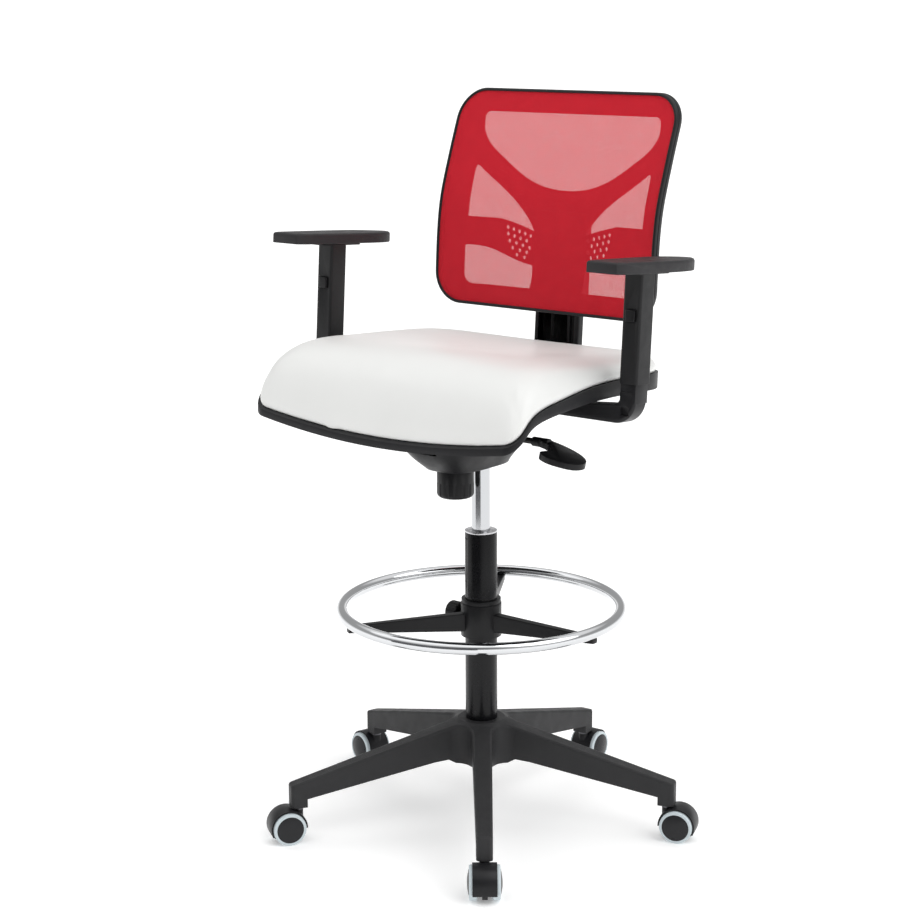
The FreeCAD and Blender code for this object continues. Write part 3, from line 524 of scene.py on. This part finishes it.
def curve_length(depth, low, high):
    """Length of the side curve between two heights."""
    heights = [low + (high - low) * k / LENGTH_STEPS for k in range(LENGTH_STEPS + 1)]
    places = [Vector((depth(z), z)) for z in heights]
    return sum((b - a).length for a, b in zip(places, places[1:]))


def make_mesh_sheet(depth):
    """Stretched mesh: one sheet from rim to rim, drawn back a little in its middle by its own tension."""
    low, high = level_box("back_mesh")
    loop = rounded_loop(high.x, low.z, high.z, RIM_CORNER - RIM_WIDTH)
    middle = (low.z + high.z) / 2
    points = [Vector((0, depth(middle) + MESH_SETBACK + MESH_DIP, middle))]
    for r in range(1, MESH_RINGS + 1):
        t = r / MESH_RINGS
        for (x, z), _ in loop:
            px, pz = x * t, middle + (z - middle) * t
            dip = MESH_DIP * (1 - t * t)
            points.append(Vector((px, depth(pz) + MESH_SETBACK + dip, pz)))
    piece = new_object("mesh_sheet", points, round_faces(len(loop), MESH_RINGS))
    length = curve_length(depth, low.z, high.z)
    dress(piece, "back_mesh", leaned=True)


# ---- seat
def seat_loop(low, high):
    """Points round the seat's plan, anticlockwise from front left: tight front corners, wide rear ones."""
    corners = [(high.x, low.y, CUSHION_CORNER, -90), (high.x, high.y, CUSHION_REAR_CORNER, 0),
               (low.x, high.y, CUSHION_REAR_CORNER, 90), (low.x, low.y, CUSHION_CORNER, 180)]
    arcs = []
    for x, y, radius, start in corners:
        cx = x - math.copysign(radius, x)
        cy = y - radius if y == high.y else y + radius
        steps = max(6, int(radius * math.pi / 2 / CUSHION_PITCH))
        arc = []
        for k in range(steps + 1):
            angle = math.radians(start + 90 * k / steps)
            arc.append(Vector((cx + radius * math.cos(angle), cy + radius * math.sin(angle))))
        arcs.append(arc)
    loop = []
    for arc, following in zip(arcs, arcs[1:] + arcs[:1]):
        loop += arc
        steps = max(1, int((following[0] - arc[-1]).length / CUSHION_PITCH))
        loop += [arc[-1].lerp(following[0], k / steps) for k in range(1, steps)]
    return loop


def reading(tree):
    """Height of a surface at a place, read from above, a little further in where the ray misses."""
    def read(x, y):
        for pull in READ_PULLS:
            place = Vector((x * pull, (y - READ_CENTRE_Y) * pull + READ_CENTRE_Y, READ_FROM_ABOVE))
            hit = tree.ray_cast(place, Vector((0, 0, -1)))[0]
            if hit:
                return hit.z
        return None
    return read


def pucker(x, y):
    """Gathers in the vinyl where it is pulled round the two front corners, strongest at the corner."""
    depth = 0.0
    for side in (1, -1):
        dx, dy = side * x - PUCKER_PLACE[0], y - PUCKER_PLACE[1]
        reach = math.hypot(dx, dy)
        turn = math.atan2(dy, dx)
        fold = math.cos(PUCKER_FOLDS * turn + 0.6 * side)
        depth += PUCKER_DEPTH * math.exp(-(reach / PUCKER_REACH) ** 2) * fold
    return depth


def cushion_top(loop, middle, crown, ledge):
    """Crown of the cushion, in rings from its middle out to its rolled edge."""
    points = [Vector((middle.x, middle.y, crown(middle.x, middle.y)))]
    for ring in range(1, CUSHION_RINGS + 1):
        t = 1 - (1 - ring / CUSHION_RINGS) ** RING_CROWDING
        for corner in loop:
            place = middle.lerp(corner, t)
            top = crown(place.x, place.y)
            foot = ledge(place.x, place.y) + EDGE_STAND
            roll = min(1.0, (corner - place).length / CUSHION_ROLL)
            rise = math.sqrt(max(0.0, 1 - (1 - roll) ** 2))
            height = foot + (top - foot) * (EDGE_SHARE + (1 - EDGE_SHARE) * rise)
            points.append(Vector((place.x, place.y, height - pucker(place.x, place.y))))
    return points


def cushion_side(loop, middle, ledge, edge):
    """Rows below the rolled edge, down to where the vinyl is tucked inside the shell's rim."""
    points = []
    for share, drop, inset in TUCK_ROWS:
        for corner, height in zip(loop, edge):
            place = corner + (middle - corner).normalized() * inset * MM
            base = ledge(place.x, place.y)
            level = base + EDGE_TUCK + share * (height - base) - drop * MM
            points.append(Vector((place.x, place.y, level)))
    return points


def cushion_under(loop, middle, ledge, first):
    """Points and faces of the underside, from the last tucked row in to the middle."""
    count = len(loop)
    points = [Vector((middle.x, middle.y, ledge(middle.x, middle.y) + EDGE_TUCK))]
    rings = [[first - count + k for k in range(count)]]
    for t in UNDER_ROWS:
        ring = []
        for corner in loop:
            place = middle.lerp(corner, t)
            ring.append(first + len(points))
            points.append(Vector((place.x, place.y, ledge(place.x, place.y) + EDGE_TUCK)))
        rings.append(ring)
    faces = []
    for outer, ring in zip(rings, rings[1:]):
        faces += [(outer[k], ring[k], ring[(k + 1) % count], outer[(k + 1) % count]) for k in range(count)]
    last = rings[-1]
    faces += [(last[k], first, last[(k + 1) % count]) for k in range(count)]
    return points, faces


def cushion_form():
    """The cushion before it is blown up, and how many of its points are free to move."""
    low, high = level_box("seat_cushion")
    crown = reading(level_tree("seat_cushion"))
    ledge = reading(level_tree("seat_shell"))
    loop = seat_loop(low, high)
    middle = Vector(((low.x + high.x) / 2, (low.y + high.y) / 2 + CUSHION_MIDDLE_BACK))
    count = len(loop)
    points = cushion_top(loop, middle, crown, ledge)
    edge = [point.z for point in points[-count:]]
    points += cushion_side(loop, middle, ledge, edge)
    faces = round_faces(count, CUSHION_RINGS + len(TUCK_ROWS))
    under, under_faces = cushion_under(loop, middle, ledge, len(points))
    piece = new_object("cushion", points + under, faces + under_faces)
    return piece, 1 + (CUSHION_RINGS - 1) * count


def make_cushion():
    """Vinyl cushion: crown and rolled edges over the seat's plan, blown up as cloth with its edge held."""
    piece, free = cushion_form()
    start = [v.co.copy() for v in piece.data.vertices]
    tucked = piece.vertex_groups.new(name="tucked")
    tucked.add(list(range(free, len(start))), 1.0, "REPLACE")
    blow_up(piece)
    for v, was in zip(piece.data.vertices, start):
        move = v.co - was
        if move.length > CUSHION_CAP:
            v.co = was + move.normalized() * CUSHION_CAP
    fine = piece.modifiers.new("fine", "SUBSURF")
    fine.levels = 1
    fine.render_levels = 1
    apply_modifiers(piece)
    piece.data.shade_smooth()
    dress(piece, "seat_cushion", leaned=True)


def blow_up(piece):
    """Runs the cloth from its first frame to its last and keeps the result."""
    cloth = piece.modifiers.new("cloth", "CLOTH")
    cloth.settings.effector_weights.gravity = 0.0
    cloth.settings.use_pressure = True
    cloth.settings.uniform_pressure_force = CLOTH_PRESSURE
    cloth.settings.vertex_group_mass = "tucked"
    cloth.settings.quality = CLOTH_QUALITY
    cloth.settings.tension_stiffness = CLOTH_STIFFNESS
    cloth.settings.compression_stiffness = CLOTH_STIFFNESS
    cloth.settings.bending_stiffness = CLOTH_BENDING
    cloth.point_cache.frame_start = 1
    cloth.point_cache.frame_end = CLOTH_FRAMES
    for step in range(1, CLOTH_FRAMES + 1):
        bpy.context.scene.frame_set(step)
    apply_modifiers(piece)
    bpy.context.scene.frame_set(1)


# ---- chrome and other turned pieces
def make_foot_ring():
    """Chrome tube bent into a ring."""
    low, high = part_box("footring")
    tube = (high.z - low.z) / 2
    radius = (high.x - low.x) / 2 - tube
    middle = (high.z + low.z) / 2
    sections = []
    for k in range(TUBE_AROUND):
        turn = 2 * math.pi * k / TUBE_AROUND
        out = Vector((math.cos(turn), math.sin(turn), 0))
        section = []
        for n in range(TUBE_SECTION):
            angle = 2 * math.pi * n / TUBE_SECTION
            offset = out * (radius + tube * math.cos(angle))
            section.append(offset + Vector((0, 0, middle + tube * math.sin(angle))))
        sections.append(section)
    dress(ring_of_sections("foot_ring_tube", sections), "footring")


def make_gas_cylinder():
    """Polished cylinder with chamfered ends and its valve pin on top."""
    low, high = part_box("gas_cylinder")
    radius = (high.x - low.x) / 2
    top = high.z - VALVE_HIGH
    edge = CYLINDER_EDGE
    profile = [(0, low.z), (radius - edge, low.z), (radius, low.z + edge), (radius, top - edge),
               (radius - edge, top), (VALVE_RADIUS, top), (VALVE_RADIUS, high.z), (0, high.z)]
    dress(lathe("gas_cylinder_polished", profile), "gas_cylinder")


# ---- stage
def make_camera():
    """Camera matched to the viewpoint of the photo."""
    camera = bpy.data.objects.new("camera", bpy.data.cameras.new("camera"))
    bpy.context.scene.collection.objects.link(camera)
    camera.data.lens = CAMERA_LENS
    camera.data.sensor_width = CAMERA_SENSOR
    camera.data.clip_end = CAMERA_REACH
    tilt = Euler((math.radians(90 - CAMERA_PITCH), 0, math.radians(CAMERA_AZIMUTH))).to_matrix().to_4x4()
    roll = Matrix.Rotation(CAMERA_ROLL, 4, "Z")
    camera.matrix_world = Matrix.Translation(CAMERA_PLACE) @ tilt @ roll
    bpy.context.scene.camera = camera


def make_floor():
    """White floor out to the horizon."""
    material, tree, shader = shader_of("floor_white")
    tone = noise(tree, 0.7)
    white = blended(tree, tone, (0.935, 0.935, 0.935), (0.955, 0.955, 0.955))
    tree.links.new(white, shader.inputs["Base Color"])
    shader.inputs["Roughness"].default_value = 0.9
    shader.inputs["Specular IOR Level"].default_value = 0.1
    shader.inputs["Emission Color"].default_value = (1, 1, 1, 1)
    shader.inputs["Emission Strength"].default_value = FLOOR_GLOW
    points = [(0, 0, 0)]
    for k in range(FLOOR_STEPS):
        angle = 2 * math.pi * k / FLOOR_STEPS
        points.append((FLOOR_RADIUS * math.cos(angle), FLOOR_RADIUS * math.sin(angle), 0))
    floor = new_object("floor", points, round_faces(FLOOR_STEPS, 1), False)
    floor.data.materials.append(material)


def make_flag():
    """Dark card in front of the chair, seen only in reflections, that gives the chrome its dark band."""
    material, tree, shader = shader_of("flag_black")
    grey = blended(tree, noise(tree, 3.0), (0.13, 0.13, 0.135), (0.17, 0.17, 0.175))
    tree.links.new(grey, shader.inputs["Base Color"])
    shader.inputs["Roughness"].default_value = 1.0
    shader.inputs["Specular IOR Level"].default_value = 0.0
    points = []
    for turn in FLAG_SPAN:
        angle = math.radians(turn)
        x, y = FLAG_AWAY * math.cos(angle), FLAG_AWAY * math.sin(angle)
        points += [(x, y, 0.0), (x, y, FLAG_HIGH)]
    faces = [(2 * k, 2 * k + 1, 2 * k + 3, 2 * k + 2) for k in range(len(FLAG_SPAN) - 1)]
    flag = new_object("flag", points, faces, False)
    flag.data.materials.append(material)
    flag.visible_camera = False
    flag.visible_diffuse = False
    flag.visible_shadow = False
    flag.visible_transmission = False


def make_lights():
    """A pale sky, dim in a band above the horizon and to the chair's front, and two soft suns."""
    world = bpy.data.worlds.new("studio")
    bpy.context.scene.world = world
    world.use_nodes = True
    tree = world.node_tree
    where = tree.nodes.new("ShaderNodeTexCoord")
    split = tree.nodes.new("ShaderNodeSeparateXYZ")
    tree.links.new(where.outputs["Generated"], split.inputs[0])
    ramp = tree.nodes.new("ShaderNodeValToRGB")
    tree.links.new(split.outputs["Z"], ramp.inputs["Fac"])
    stops = ramp.color_ramp.elements
    for place, level in SKY[1:-1]:
        stops.new(place)
    for stop, (place, level) in zip(sorted(stops, key=lambda stop: stop.position), SKY):
        stop.position = place
        stop.color = (level, level, level, 1)
    facing = tree.nodes.new("ShaderNodeVectorMath")
    facing.operation = "DOT_PRODUCT"
    facing.inputs[1].default_value = DARK_SIDE
    tree.links.new(where.outputs["Generated"], facing.inputs[0])
    shade = ranged(tree, facing.outputs["Value"], 1.0, DARK_LEVEL, *DARK_RANGE)
    tree.links.new(ramp.outputs["Color"], tree.nodes["Background"].inputs["Color"])
    tree.links.new(shade, tree.nodes["Background"].inputs["Strength"])
    for name, aim, angle, power in SUNS:
        data = bpy.data.lights.new(name, "SUN")
        data.angle = math.radians(angle)
        data.energy = power
        light = bpy.data.objects.new(name, data)
        bpy.context.scene.collection.objects.link(light)
        light.rotation_euler = Vector(aim).to_track_quat("-Z", "Y").to_euler()
    bpy.context.scene.view_settings.view_transform = "Standard"


# ---- everything
MATERIALS = make_materials()
for node, piece in NODES.items():
    piece.data.materials.clear()
    piece.data.materials.append(MATERIALS[slot_of(node)])

make_camera()
make_floor()
make_flag()
make_lights()

mesh_tree = level_tree("back_mesh")
mesh_low, mesh_high = level_box("back_mesh")
curve = side_curve(mesh_tree, mesh_low.z + CURVE_INSET, mesh_high.z - CURVE_INSET)
make_rim(curve)
make_mesh_sheet(curve)
make_cushion()
make_foot_ring()
make_gas_cylinder()
for node, width in EASED.items():
    eased(node, width * MM)
for number in range(1, 6):
    eased("caster_%d_hood" % number, HOOD_EASE * MM)
    for side in ("left", "right"):
        eased("caster_%d_wheel_%s" % (number, side), WHEEL_EASE * MM)
